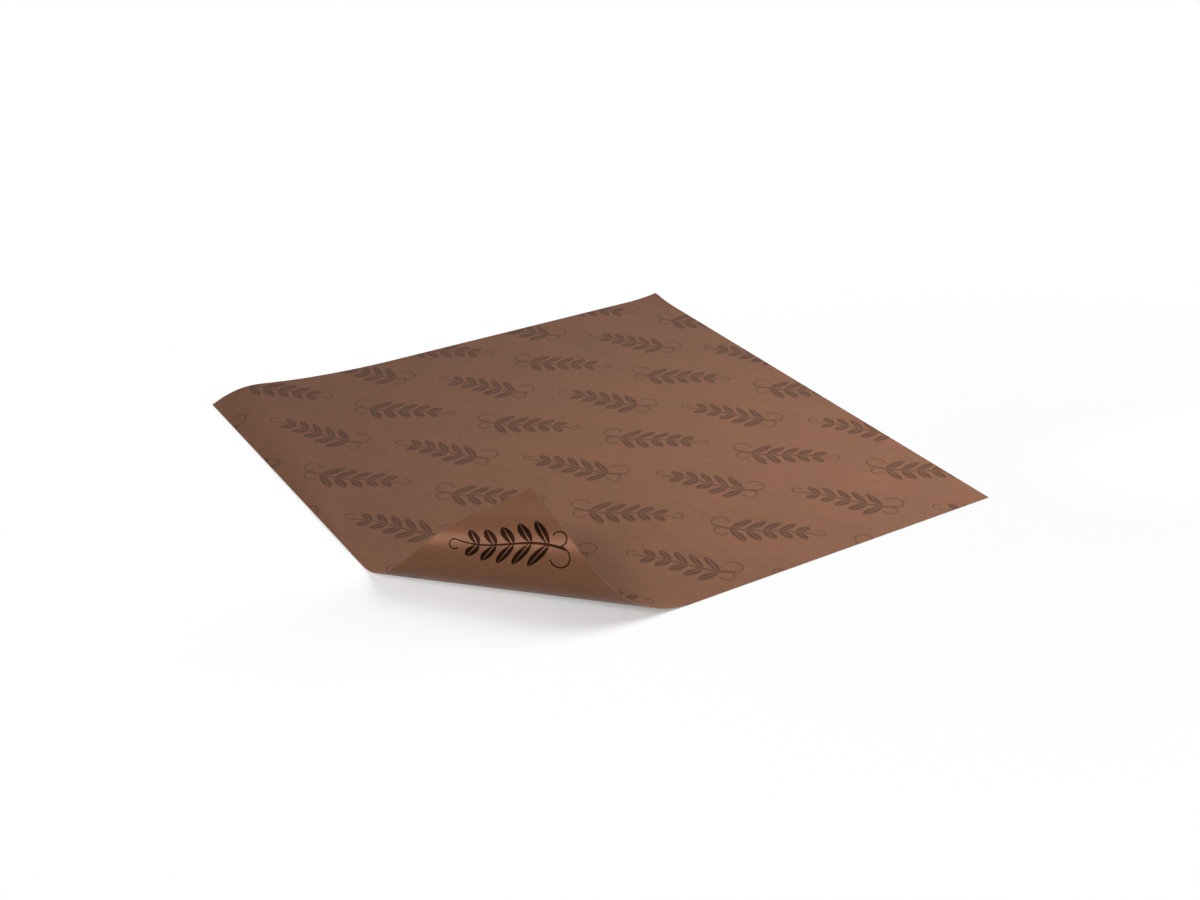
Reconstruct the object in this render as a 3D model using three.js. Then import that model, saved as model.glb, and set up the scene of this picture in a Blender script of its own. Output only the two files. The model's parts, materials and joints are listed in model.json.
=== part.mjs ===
// A non-stick dehydrator sheet: a square of woven glass cloth with a non-stick coat on each face.
// It lies flat, with its front corner curled over and small waves in its left and back corners.
// A bent corner is a chain of flat strips, each turned about the bend line that it shares with the last.
// Millimetres, +Z up, the sheet's edges along X and Y, its middle over the origin, its underside at z = 0.
import * as THREE from 'three';

// The sheet and its layers
const SHEET_SIDE = 355.6;
const CLOTH_THICKNESS = 0.09;
const COAT_THICKNESS = 0.02;
const BOND_LINE = 0.004; // between the cloth and each coat
const BEND_SLIT = 0.1; // between two strips, with their bend line in the middle of it

// Front corner: one even arc up and over the sheet, with the tip bent back a little
const CURL_START_LEFT = 126.7; // where the arc starts on the left edge, from the corner
const CURL_START_RIGHT = 136; // where it starts on the right edge, from the corner
const CURL_LENGTH = 73; // sheet in the arc, square to its first bend line
const CURL_BENDS = 8;
const CURL_TURN_DEG = 169.6; // of the whole arc
const CURL_SWING_DEG = 13.3; // how far the bend lines swing round on their way to the tip
const TIP_BEND_REACH = 9; // from the corner to the tip's own bend line
const TIP_TURN_DEG = -10.5;

// Left corner: a low wave, fanning out from the left edge just behind the curl
const FAN_CLEARANCE = 11; // from the curl's start to the fan's centre, along the left edge
const FAN_OUTSET = 1; // of the fan's centre, out from the left edge
const RISE_BENDS = 2;
const RISE_SPACING = 45; // between the lines where the wave rises, on the back edge
const RISE_TURN_DEG = 4.1; // of each bend
const CREST_BENDS = 3;
const CREST_SPACING = 10; // from the corner to the last crest line, and between crest lines, on the back edge
const CREST_CLEARANCE = 35; // from the first crest line to the last line of the rise, on the back edge
const LANDING_SHARE = 0.93; // of the turn that a shallow wave would need to land its corner

// Back corner: a slight upward flick
const FLICK_BENDS = 2;
const FLICK_SPACING = 10; // from the corner to the last bend line, and between them, on both edges
const FLICK_TURN_DEG = 5.5; // of each bend

// Finishes
const COAT_COLOUR = 0x8c6450;
const COAT_ROUGHNESS = 0.45;
const CLOTH_COLOUR = 0xb49a80;
const CLOTH_ROUGHNESS = 0.8;

const HALF_SIDE = SHEET_SIDE / 2;
const HALF_CLOTH = CLOTH_THICKNESS / 2;
const HALF_SHEET = HALF_CLOTH + BOND_LINE + COAT_THICKNESS;
const UP = new THREE.Vector3(0, 0, 1);

// Each layer's place is measured from the middle of the sheet's thickness.
const LAYERS = [
  {
    name: 'lower_coat',
    base: -HALF_SHEET,
    thickness: COAT_THICKNESS,
    colour: COAT_COLOUR,
    roughness: COAT_ROUGHNESS,
  },
  {
    name: 'cloth',
    base: -HALF_CLOTH,
    thickness: CLOTH_THICKNESS,
    colour: CLOTH_COLOUR,
    roughness: CLOTH_ROUGHNESS,
  },
  {
    name: 'upper_coat',
    base: HALF_CLOTH + BOND_LINE,
    thickness: COAT_THICKNESS,
    colour: COAT_COLOUR,
    roughness: COAT_ROUGHNESS,
  },
];

// Flat outline, counter-clockwise from the front corner
const FRONT = new THREE.Vector3(-HALF_SIDE, -HALF_SIDE, 0);
const RIGHT = new THREE.Vector3(HALF_SIDE, -HALF_SIDE, 0);
const BACK = new THREE.Vector3(HALF_SIDE, HALF_SIDE, 0);
const LEFT = new THREE.Vector3(-HALF_SIDE, HALF_SIDE, 0);
const OUTLINE = [FRONT, RIGHT, BACK, LEFT];

const towards = (from, to, distance) =>
  from.clone().addScaledVector(to.clone().sub(from).normalize(), distance);

// A bend line has its corner on the left, so that a positive turn lifts the corner.
class BendLine {
  constructor(point, along, turnDeg) {
    this.point = point;
    this.along = along.clone().normalize();
    this.turn = THREE.MathUtils.degToRad(turnDeg);
    this.outward = new THREE.Vector3().crossVectors(UP, this.along);
  }

  static through(from, to, turnDeg) {
    return new BendLine(from, to.clone().sub(from), turnDeg);
  }

  // How far a flat point lies beyond the line, towards the corner
  beyond(point) {
    return this.outward.dot(point.clone().sub(this.point));
  }
}

// The part of a convex outline where depth(point) is over half a slit
function trim(outline, depth) {
  const kept = [];
  outline.forEach((point, i) => {
    const next = outline[(i + 1) % outline.length];
    const here = depth(point) - BEND_SLIT / 2;
    const there = depth(next) - BEND_SLIT / 2;
    if (here >= 0) kept.push(point);
    if (here * there < 0) kept.push(point.clone().lerp(next, here / (here - there)));
  });
  return kept;
}

const inside = (outline, line) => trim(outline, (point) => -line.beyond(point));
const outside = (outline, line) => trim(outline, (point) => line.beyond(point));

// Adds the layers of one flat piece of the sheet to its group, whose origin lies at the given point.
function addLayers(group, name, outline, origin) {
  const shape = new THREE.Shape(
    outline.map((point) => new THREE.Vector2(point.x - origin.x, point.y - origin.y)),
  );
  for (const layer of LAYERS) {
    const mesh = new THREE.Mesh(
      new THREE.ExtrudeGeometry(shape, { depth: layer.thickness, bevelEnabled: false }),
      new THREE.MeshStandardMaterial({
        color: layer.colour,
        roughness: layer.roughness,
        metalness: 0,
      }),
    );
    mesh.name = `${name}_${layer.name}`;
    mesh.position.z = layer.base;
    group.add(mesh);
  }
}

// Hangs a corner's strips on the main panel, each in a group that turns about its own bend line.
function addCorner(panel, name, lines) {
  let carrier = panel;
  let origin = new THREE.Vector3();
  lines.forEach((line, i) => {
    const strip = new THREE.Group();
    strip.name = `${name}_bend_${i + 1}`;
    strip.position.copy(line.point).sub(origin);
    strip.setRotationFromAxisAngle(line.along, line.turn);
    const reaching = outside(OUTLINE, line);
    const outline = i + 1 < lines.length ? inside(reaching, lines[i + 1]) : reaching;
    addLayers(strip, `${name}_strip_${i + 1}`, outline, line.point);
    carrier.add(strip);
    carrier = strip;
    origin = line.point;
  });
}

// Evenly spaced reaches from a corner, farthest first
const reachesFrom = (nearest, spacing, count) =>
  Array.from({ length: count }, (_, i) => nearest + (count - 1 - i) * spacing);

const sum = (values) => values.reduce((total, value) => total + value, 0);

// The curl's lines start across the corner and swing round as they near the tip.
function curlLines() {
  const first = BendLine.through(
    towards(FRONT, RIGHT, CURL_START_RIGHT),
    towards(FRONT, LEFT, CURL_START_LEFT),
    0,
  );
  const middle = first.point.clone().lerp(towards(FRONT, LEFT, CURL_START_LEFT), 0.5);
  const depth = first.beyond(FRONT);
  const lineAt = (distance, turnDeg) => {
    const swing = THREE.MathUtils.degToRad(CURL_SWING_DEG) * (distance / depth);
    return new BendLine(
      middle.clone().addScaledVector(first.outward, distance),
      first.along.clone().applyAxisAngle(UP, -swing),
      turnDeg,
    );
  };
  const spacing = CURL_LENGTH / CURL_BENDS;
  const lines = [];
  for (let i = 0; i < CURL_BENDS; i += 1) {
    lines.push(lineAt((i + 0.5) * spacing, CURL_TURN_DEG / CURL_BENDS));
  }
  lines.push(lineAt(depth - TIP_BEND_REACH, TIP_TURN_DEG));
  return lines;
}

// The wave rises in a few bends and comes down over its crest, so that the corner meets the floor again.
function waveLines() {
  const centre = towards(FRONT, LEFT, CURL_START_LEFT + FAN_CLEARANCE);
  centre.x -= FAN_OUTSET;
  const crestReaches = reachesFrom(CREST_SPACING, CREST_SPACING, CREST_BENDS);
  const riseReaches = reachesFrom(crestReaches[0] + CREST_CLEARANCE, RISE_SPACING, RISE_BENDS);
  const landing = LANDING_SHARE * (sum(riseReaches) / sum(crestReaches));
  const lineTo = (reach, turnDeg) => BendLine.through(centre, towards(LEFT, BACK, reach), turnDeg);
  return [
    ...riseReaches.map((reach) => lineTo(reach, RISE_TURN_DEG)),
    ...crestReaches.map((reach) => lineTo(reach, -landing * RISE_TURN_DEG)),
  ];
}

function flickLines() {
  return reachesFrom(FLICK_SPACING, FLICK_SPACING, FLICK_BENDS).map((reach) =>
    BendLine.through(towards(BACK, LEFT, reach), towards(BACK, RIGHT, reach), FLICK_TURN_DEG),
  );
}

const corners = {
  front: curlLines(),
  left: waveLines(),
  back: flickLines(),
};

const sheet = new THREE.Group();
const panel = new THREE.Group();
panel.position.z = HALF_SHEET;
sheet.add(panel);

const panelOutline = Object.values(corners).reduce(
  (outline, lines) => inside(outline, lines[0]),
  OUTLINE,
);
addLayers(panel, 'main_panel', panelOutline, new THREE.Vector3());
for (const [name, lines] of Object.entries(corners)) {
  addCorner(panel, name, lines);
}

export default sheet;
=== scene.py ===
"""Looks of a non-stick dehydrator sheet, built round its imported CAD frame.

The sheet is woven glass cloth between two brown non-stick coats, printed on its underside. It lies on a
pale floor, with its front corner curled over, a low wave in its left corner and a flick at the back.
The CAD frame bends each corner in flat strips. Here every strip becomes a smooth length of the sheet
that bends with the two bodies it joins, so that the whole sheet is one even surface in every pose.
"""

import json
import logging
import math
import operator
from collections.abc import Iterator, Mapping
from dataclasses import dataclass, field
from enum import Enum
from functools import partial, reduce

import bmesh
import bpy
import numpy as np
from mathutils import Color, Matrix, Quaternion, Vector
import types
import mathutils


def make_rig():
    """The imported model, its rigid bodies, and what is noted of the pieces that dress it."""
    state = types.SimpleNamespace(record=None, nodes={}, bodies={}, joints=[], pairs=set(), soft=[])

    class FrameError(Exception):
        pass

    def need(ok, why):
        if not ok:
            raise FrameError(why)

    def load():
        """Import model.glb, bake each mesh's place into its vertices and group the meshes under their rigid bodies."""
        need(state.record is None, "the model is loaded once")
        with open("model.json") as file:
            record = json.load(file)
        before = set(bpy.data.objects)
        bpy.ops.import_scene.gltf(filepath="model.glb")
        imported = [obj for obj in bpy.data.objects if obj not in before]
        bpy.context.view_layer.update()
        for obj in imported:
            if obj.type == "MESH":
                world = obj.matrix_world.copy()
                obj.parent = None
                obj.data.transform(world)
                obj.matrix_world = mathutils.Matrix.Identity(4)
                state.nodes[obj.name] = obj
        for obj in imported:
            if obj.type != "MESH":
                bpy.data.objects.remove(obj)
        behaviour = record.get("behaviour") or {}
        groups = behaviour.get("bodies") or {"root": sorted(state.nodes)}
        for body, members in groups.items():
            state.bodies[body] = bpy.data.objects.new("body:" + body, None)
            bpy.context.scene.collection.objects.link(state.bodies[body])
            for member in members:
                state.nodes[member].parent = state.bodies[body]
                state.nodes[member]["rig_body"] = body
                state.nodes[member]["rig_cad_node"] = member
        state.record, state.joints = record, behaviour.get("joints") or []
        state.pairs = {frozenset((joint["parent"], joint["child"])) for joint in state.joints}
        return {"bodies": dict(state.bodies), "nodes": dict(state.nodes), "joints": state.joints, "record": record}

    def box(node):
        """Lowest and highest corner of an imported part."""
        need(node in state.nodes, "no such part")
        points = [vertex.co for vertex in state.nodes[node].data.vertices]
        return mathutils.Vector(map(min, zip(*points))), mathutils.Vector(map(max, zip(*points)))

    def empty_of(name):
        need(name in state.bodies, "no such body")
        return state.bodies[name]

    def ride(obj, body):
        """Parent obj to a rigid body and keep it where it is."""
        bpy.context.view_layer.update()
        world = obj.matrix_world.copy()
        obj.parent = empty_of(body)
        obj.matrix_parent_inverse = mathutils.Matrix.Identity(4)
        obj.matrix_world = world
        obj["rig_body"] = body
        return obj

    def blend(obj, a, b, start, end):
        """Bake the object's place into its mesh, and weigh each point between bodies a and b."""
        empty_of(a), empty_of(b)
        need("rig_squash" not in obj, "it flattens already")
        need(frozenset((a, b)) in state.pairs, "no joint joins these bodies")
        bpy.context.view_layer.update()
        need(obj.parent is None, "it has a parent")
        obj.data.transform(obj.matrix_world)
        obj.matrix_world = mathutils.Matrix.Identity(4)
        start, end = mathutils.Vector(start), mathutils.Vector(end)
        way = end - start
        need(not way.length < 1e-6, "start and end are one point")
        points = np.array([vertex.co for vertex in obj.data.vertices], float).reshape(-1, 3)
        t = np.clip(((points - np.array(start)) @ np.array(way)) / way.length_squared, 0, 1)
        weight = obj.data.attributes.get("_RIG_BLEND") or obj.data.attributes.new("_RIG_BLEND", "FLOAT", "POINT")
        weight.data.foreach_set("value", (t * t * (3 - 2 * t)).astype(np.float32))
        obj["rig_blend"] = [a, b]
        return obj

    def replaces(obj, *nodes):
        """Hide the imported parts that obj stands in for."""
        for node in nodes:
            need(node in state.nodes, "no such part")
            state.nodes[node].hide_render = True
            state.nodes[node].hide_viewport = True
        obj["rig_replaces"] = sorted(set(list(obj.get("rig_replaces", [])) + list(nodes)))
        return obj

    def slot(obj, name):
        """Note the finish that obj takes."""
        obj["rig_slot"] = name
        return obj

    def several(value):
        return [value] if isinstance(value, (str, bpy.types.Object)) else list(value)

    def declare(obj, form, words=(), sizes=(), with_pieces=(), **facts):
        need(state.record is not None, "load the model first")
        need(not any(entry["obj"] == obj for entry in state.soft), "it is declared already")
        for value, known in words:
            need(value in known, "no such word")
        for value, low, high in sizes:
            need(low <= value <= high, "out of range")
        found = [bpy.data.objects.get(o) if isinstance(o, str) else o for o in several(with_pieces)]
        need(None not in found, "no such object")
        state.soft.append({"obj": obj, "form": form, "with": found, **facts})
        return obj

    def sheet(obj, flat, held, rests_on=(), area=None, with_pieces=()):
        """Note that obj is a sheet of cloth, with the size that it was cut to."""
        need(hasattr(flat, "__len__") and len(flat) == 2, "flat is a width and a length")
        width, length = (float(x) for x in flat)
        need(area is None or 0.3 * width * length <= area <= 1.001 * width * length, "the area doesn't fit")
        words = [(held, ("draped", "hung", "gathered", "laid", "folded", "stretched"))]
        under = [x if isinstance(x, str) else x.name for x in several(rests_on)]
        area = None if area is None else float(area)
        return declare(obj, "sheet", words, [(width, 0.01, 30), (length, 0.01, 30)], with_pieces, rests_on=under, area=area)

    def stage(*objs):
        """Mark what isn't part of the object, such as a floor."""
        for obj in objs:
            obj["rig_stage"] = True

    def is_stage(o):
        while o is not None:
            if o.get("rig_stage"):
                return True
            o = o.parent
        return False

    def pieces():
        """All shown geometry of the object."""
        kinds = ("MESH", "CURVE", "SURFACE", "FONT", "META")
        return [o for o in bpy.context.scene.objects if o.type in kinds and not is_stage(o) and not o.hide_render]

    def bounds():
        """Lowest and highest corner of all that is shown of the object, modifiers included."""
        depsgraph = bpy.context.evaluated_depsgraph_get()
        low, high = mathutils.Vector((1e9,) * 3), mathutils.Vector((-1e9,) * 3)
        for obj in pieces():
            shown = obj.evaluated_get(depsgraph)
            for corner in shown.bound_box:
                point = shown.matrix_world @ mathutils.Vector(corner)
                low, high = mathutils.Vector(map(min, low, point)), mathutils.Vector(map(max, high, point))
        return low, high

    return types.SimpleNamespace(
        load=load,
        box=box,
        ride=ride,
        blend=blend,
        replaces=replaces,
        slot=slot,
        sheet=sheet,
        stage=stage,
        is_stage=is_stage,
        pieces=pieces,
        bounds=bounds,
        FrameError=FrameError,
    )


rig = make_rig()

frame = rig.load()
CAD_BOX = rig.bounds()

LOG = logging.getLogger("dehydrator_sheet")
SIZE_FILE = "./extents.json"
MM = 0.001
FLAT_PLACE = "flat_place"
COAT_SLOT = "non_stick_coat"
CLOTH_SLOT = "glass_cloth"
DISPLAY_STEPS = 255
BLEND_STRAY = 0.09  # how far the blend's smooth step strays from an even one, as a share of its span
WELD = 1e-7  # how near a cut of the panel's grid may pass a point and still go through it
ORIGIN = (0.0, 0.0, 0.0)
SQUARE = ((-1, -1), (1, -1), (1, 1), (-1, 1))  # signs of a square's corners, counter-clockwise

Array = np.ndarray
Colour = tuple[float, float, float]
Place = tuple[float, float, float]
Feeds = Mapping[str | int, object]
Tree = bpy.types.NodeTree
Mesh = bpy.types.Mesh
Material = bpy.types.Material
Piece = bpy.types.Object


class CornerName(Enum):
    """The sheet's corners, counter-clockwise from above."""

    FRONT = "front"
    RIGHT = "right"
    BACK = "back"
    LEFT = "left"


class Surface(Enum):
    """The kinds of surface a length of the sheet shows, in the order of its material slots."""

    UPPER_COAT = 0
    LOWER_COAT = 1
    CUT_EDGE = 2


def linear(colour: Colour) -> tuple[float, float, float, float]:
    """Turns a colour as a display shows it into the linear colour a shader takes.

    Args:
        colour: Red, green and blue in display steps.

    Returns:
        Linear red, green and blue, and an alpha of 1.
    """
    shares = [channel / DISPLAY_STEPS for channel in colour]
    return (*Color(shares).from_srgb_to_scene_linear(), 1.0)


def unit(vector: Array) -> Array:
    """Gives a vector a length of 1."""
    return vector / np.linalg.norm(vector)


def between(first: Array, second: Array, share: float | Array) -> Array:
    """Finds the points at a share of the way from first to second."""
    return first + (second - first) * share


def turn_about(point: Array, axis: Array, angle: float) -> Array:
    """Makes the matrix that turns about a line.

    Args:
        point: A point on the line.
        axis: The line's direction.
        angle: The turn in radians.

    Returns:
        A 4x4 matrix.
    """
    x, y, z = unit(axis)
    cross = np.array([[0, -z, y], [z, 0, -x], [-y, x, 0]])
    turn = np.eye(3) + math.sin(angle) * cross + (1 - math.cos(angle)) * cross @ cross
    matrix = np.eye(4)
    matrix[:3, :3] = turn
    matrix[:3, 3] = point - turn @ point
    return matrix


@dataclass(frozen=True)
class BendLine:
    """A straight line across the flat sheet, with its corner on the left of the way from start to end."""

    start: Array
    end: Array
    turn: float = 0.0

    @property
    def along(self) -> Array:
        """Gives the flat direction from start to end."""
        return unit(self.end - self.start)

    @property
    def outward(self) -> Array:
        """Gives the flat direction from the line towards its corner."""
        return np.array([-self.along[1], self.along[0]])

    def towards(self, other: "BendLine", share: float) -> "BendLine":
        """Finds a line between this one and another.

        Args:
            other: The line at a share of 1.
            share: How far to go, where below 0 is on this line's far side.

        Returns:
            The line, with no turn of its own.
        """
        return BendLine(between(self.start, other.start, share), between(self.end, other.end, share))

    def matrix(self) -> Array:
        """Makes the matrix that bends the flat sheet about this line by its turn."""
        return turn_about(np.append(self.start, 0.0), np.append(self.along, 0.0), self.turn)


@dataclass(frozen=True)
class SheetStock:
    """The sheet as it is cut: its side and thickness, read from the frame."""

    side: float
    thickness: float

    @classmethod
    def from_frame(cls) -> "SheetStock":
        """Reads the cut size from the main panel's layers, which reach all four edges.

        Returns:
            The stock.
        """
        low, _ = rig.box("main_panel_lower_coat")
        _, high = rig.box("main_panel_upper_coat")
        return cls(side=high[0] - low[0], thickness=high[2] - low[2])

    def corner(self, name: CornerName) -> Array:
        """Gives a corner's flat place."""
        return np.array(dict(zip(CornerName, SQUARE))[name]) * self.side / 2

    def bend_line(self, point: Array, axis: Array, turn: float, corner: Array) -> BendLine:
        """Trims a hinge axis to the flat sheet.

        Args:
            point: A flat point on the axis.
            axis: The axis' flat direction.
            turn: The turn about that axis from flat to rest, in radians.
            corner: The corner that the turn lifts or lowers.

        Returns:
            The line from edge to edge with its corner on the left, its turn positive where it lifts.
        """
        along, signed_turn = unit(axis), turn
        to_corner = corner - point
        if along[0] * to_corner[1] - along[1] * to_corner[0] < 0:
            along, signed_turn = -along, -turn
        with np.errstate(divide="ignore"):
            edges = np.array([-self.side / 2, self.side / 2])
            reaches = np.sort((edges[:, None] - point[None, :]) / along[None, :], axis=0)
        first, last = reaches[0].max(), reaches[1].min()
        return BendLine(point + along * first, point + along * last, signed_turn)


@dataclass
class SheetLength:
    """One length of the sheet, between two borders: a flat cut, bent into place, with a thickness."""

    flat: Array
    middle: Array
    normal: Array
    faces: list[tuple[int, ...]]
    cut_edges: list[Array]

    def make_mesh(self, name: str, thickness: float) -> Mesh:
        """Makes the closed plate of this length, with its flat place kept on each point.

        Args:
            name: The mesh's name.
            thickness: The sheet's thickness.

        Returns:
            The mesh, its faces sorted into the slots of Surface, shaded with the smooth sheet's normals.
        """
        count = len(self.flat)
        half = self.normal * (thickness / 2)
        points = np.vstack([self.middle + half, self.middle - half])
        sides = {
            Surface.UPPER_COAT: list(self.faces),
            Surface.LOWER_COAT: [tuple(i + count for i in reversed(face)) for face in self.faces],
            Surface.CUT_EDGE: [(a + count, b + count, b, a) for a, b in self._rim()],
        }
        mesh = bpy.data.meshes.new(name)
        mesh.from_pydata(points.tolist(), [], sum(sides.values(), []))
        kinds = [surface.value for surface, faces in sides.items() for _ in faces]
        mesh.polygons.foreach_set("material_index", kinds)
        mesh.polygons.foreach_set("use_smooth", [True] * len(kinds))
        place = mesh.attributes.new(FLAT_PLACE, "FLOAT_VECTOR", "POINT")
        flat = np.column_stack([self.flat, np.zeros(count)])
        place.data.foreach_set("vector", np.vstack([flat, flat]).astype(np.float32).ravel())
        smooth = np.vstack([self.normal, -self.normal])
        normals = [smooth[i] for side in list(sides.values())[:2] for face in side for i in face]
        for face in sides[Surface.CUT_EDGE]:
            out = np.cross(points[face[1]] - points[face[0]], points[face[3]] - points[face[0]])
            normals.extend([unit(out)] * len(face))
        mesh.normals_split_custom_set([tuple(n) for n in normals])
        mesh.update()
        return mesh

    def _rim(self) -> list[tuple[int, int]]:
        """Lists the edges that only one face uses, in that face's direction."""
        used = {(a, b) for face in self.faces for a, b in zip(face, face[1:] + face[:1])}
        return sorted((a, b) for a, b in used if (b, a) not in used)

    def flat_area(self) -> float:
        """Measures the cut before it is bent.

        Returns:
            Its flat area.
        """
        total = 0.0
        for face in self.faces:
            corners = self.flat[list(face)]
            after = np.roll(corners, -1, axis=0)
            total += float((corners[:, 0] * after[:, 1] - corners[:, 1] * after[:, 0]).sum()) / 2
        return total


@dataclass(frozen=True)
class BentRow:
    """A straight row across the sheet: where it lies flat, and where its two ends lie bent."""

    flat: BendLine
    bent: Array
    normals: Array

    def lay(self, count: int) -> tuple[Array, Array, Array]:
        """Lays evenly spaced points along the row.

        Args:
            count: How many points.

        Returns:
            The points' flat places, their bent places and the sheet's normals there.
        """
        share = np.linspace(0, 1, count)[:, None]
        flat = between(self.flat.start, self.flat.end, share)
        bent = between(self.bent[0], self.bent[1], share)
        normal = between(self.normals[0], self.normals[1], share)
        return flat, bent, normal / np.linalg.norm(normal, axis=1)[:, None]

    def matrix(self) -> Array:
        """Makes the matrix that takes the flat sheet near this row to its bent place.

        Returns:
            A 4x4 matrix.
        """
        along = unit(self.bent[1] - self.bent[0])
        normal = self.normals.sum(axis=0)
        normal = unit(normal - along * (normal @ along))
        bent_axes = np.column_stack([along, np.cross(normal, along), normal])
        flat_along, flat_outward = np.append(self.flat.along, 0), np.append(self.flat.outward, 0)
        flat_axes = np.column_stack([flat_along, flat_outward, (0, 0, 1)])
        matrix = np.eye(4)
        matrix[:3, :3] = bent_axes @ flat_axes.T
        middle = np.append((self.flat.start + self.flat.end) / 2, 0.0)
        matrix[:3, 3] = self.bent.mean(axis=0) - matrix[:3, :3] @ middle
        return matrix


@dataclass(frozen=True)
class Bend:
    """One bend of the sheet, round its hinge line, from the middle of a strip to the middle of the next."""

    entry: BendLine
    hinge: BendLine
    leave: BendLine
    before: Array
    after: Array

    @property
    def curve(self) -> tuple[BendLine, BendLine, BendLine]:
        """Gives the lines that steer the bend: one before the hinge, the hinge, and one as far after it."""
        before, after = (
            max(abs((point - self.hinge.start) @ self.hinge.outward) for point in (line.start, line.end))
            for line in (self.entry, self.leave)
        )
        return (
            self.hinge.towards(self.entry, min(1.0, after / before)),
            self.hinge,
            self.hinge.towards(self.leave, min(1.0, before / after)),
        )

    @property
    def controls(self) -> list[Array]:
        """Gives the bent places of the ends of the steering lines."""
        placed = (self.before, self.before, self.after)
        return [self.ends(line, matrix) for line, matrix in zip(self.curve, placed)]

    @staticmethod
    def ends(line: BendLine, matrix: Array) -> Array:
        """Places the two ends of a flat line."""
        return np.array([(matrix @ np.append(point, (0.0, 1.0)))[:3] for point in (line.start, line.end)])

    def row(self, share: float) -> BentRow:
        """Finds a row of the smooth sheet, a parabola that touches the strips on both sides.

        Args:
            share: How far through the bend, from 0 to 1. The first and the last row lie on its borders.

        Returns:
            The row.
        """
        weights = ((1 - share) ** 2, 2 * share * (1 - share), share**2)
        slopes = (share - 1, 1 - 2 * share, share)
        controls = self.controls
        bent = sum(w * ends for w, ends in zip(weights, controls))
        across = sum(s * ends for s, ends in zip(slopes, controls))
        normals = np.cross(bent[1] - bent[0], across)
        normals = normals / np.linalg.norm(normals, axis=1)[:, None]
        if share == 0:
            return BentRow(self.entry, self.ends(self.entry, self.before), normals)
        if share == 1:
            return BentRow(self.leave, self.ends(self.leave, self.after), normals)
        flat = BendLine(
            sum(w * line.start for w, line in zip(weights, self.curve)),
            sum(w * line.end for w, line in zip(weights, self.curve)),
        )
        return BentRow(flat, bent, normals)

    def span(self, seam: float) -> tuple[Array, Array]:
        """Finds where the sheet starts and stops bending when its joint moves.

        A row inside the span turns a little more or less than an even bend would. Lines that run
        together at one edge get a span that is short enough to keep the seam to the next length closed.

        Args:
            seam: The widest gap that a pose may open between two lengths.

        Returns:
            The two points, at rest, square to the hinge line.
        """
        entry, hinge, leave = self.controls
        along = unit(hinge[1] - hinge[0])
        middle = hinge.mean(axis=0)
        across = leave.mean(axis=0) - entry.mean(axis=0)
        across = unit(across - along * (across @ along))
        widest = seam / (BLEND_STRAY * abs(self.hinge.turn))
        reaches = []
        for ends in (entry, leave):
            gaps = np.abs((ends - middle) @ across)
            reaches.append(max(gaps.min(), min(gaps.max(), widest)))
        return middle - across * reaches[0], middle + across * reaches[1]


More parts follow.
